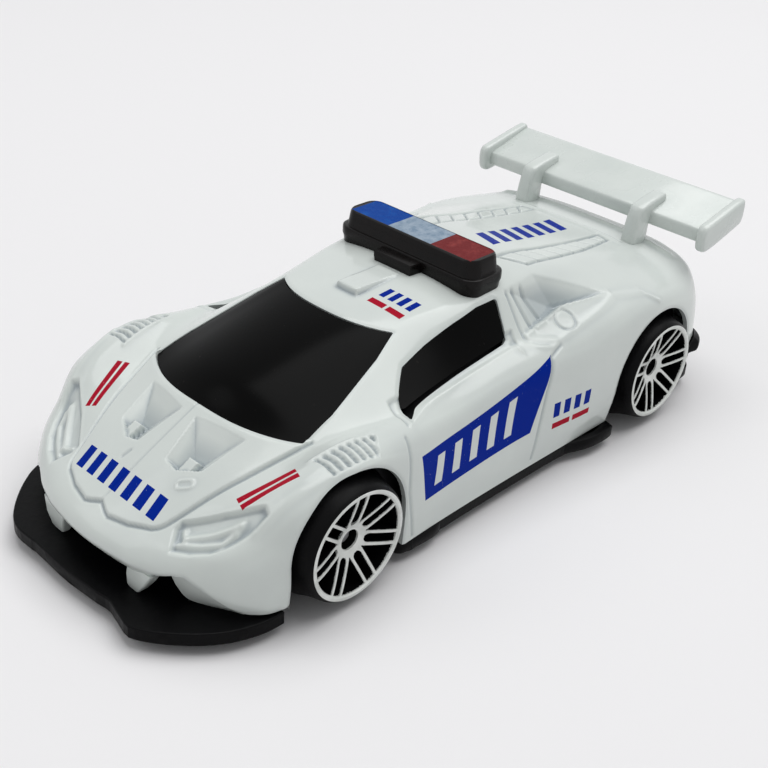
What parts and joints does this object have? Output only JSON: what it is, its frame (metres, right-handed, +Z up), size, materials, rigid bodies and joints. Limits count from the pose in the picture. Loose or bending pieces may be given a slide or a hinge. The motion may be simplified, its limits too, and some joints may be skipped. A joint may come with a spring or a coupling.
{
  "type": "toy police car",
  "caption": "Small die-cast toy police car with a low sports body, roof light bar, rear wing and free-rolling wheels on steel axles.",
  "frame": {"origin": "On the ground under the middle of the car's overall length and width", "axes": "+X to the front of the car, +Y to its left side, +Z up"},
  "size_m": [0.0724, 0.0324, 0.0207],
  "materials": {
    "white_enamel": "gloss white enamel on die-cast zinc",
    "smoked_plastic": "smoked, polished",
    "bar_plastic": "smoked brown, polished, with blue, silver and red printed tops",
    "white_plastic": "gloss white moulding",
    "black_plastic": "satin black moulding",
    "tray_plastic": "dark grey moulding",
    "steel": "plain drawn steel",
    "wheel_plastic": "black moulding with bright foil on the rim and spokes"
  },
  "bodies": {
    "car": {"body_shell": "white_enamel", "window_insert": "smoked_plastic", "light_bar": "bar_plastic", "rear_wing": "white_plastic", "base_plate": "black_plastic", "cabin_tray": "tray_plastic", "front_base_screw": "steel", "rear_base_screw": "steel"},
    "front_wheelset": {"front_axle": "steel", "front_left_wheel": "wheel_plastic", "front_right_wheel": "wheel_plastic"},
    "rear_wheelset": {"rear_axle": "steel", "rear_left_wheel": "wheel_plastic", "rear_right_wheel": "wheel_plastic"}
  },
  "joints": [
    {"name": "front_wheel_spin", "type": "hinge", "parent": "car", "child": "front_wheelset", "pos_m": [0.01975, 0, 0.006], "axis": [0, 1, 0], "continuous": true},
    {"name": "rear_wheel_spin", "type": "hinge", "parent": "car", "child": "rear_wheelset", "pos_m": [-0.02225, 0, 0.006], "axis": [0, 1, 0], "continuous": true}
  ]
}
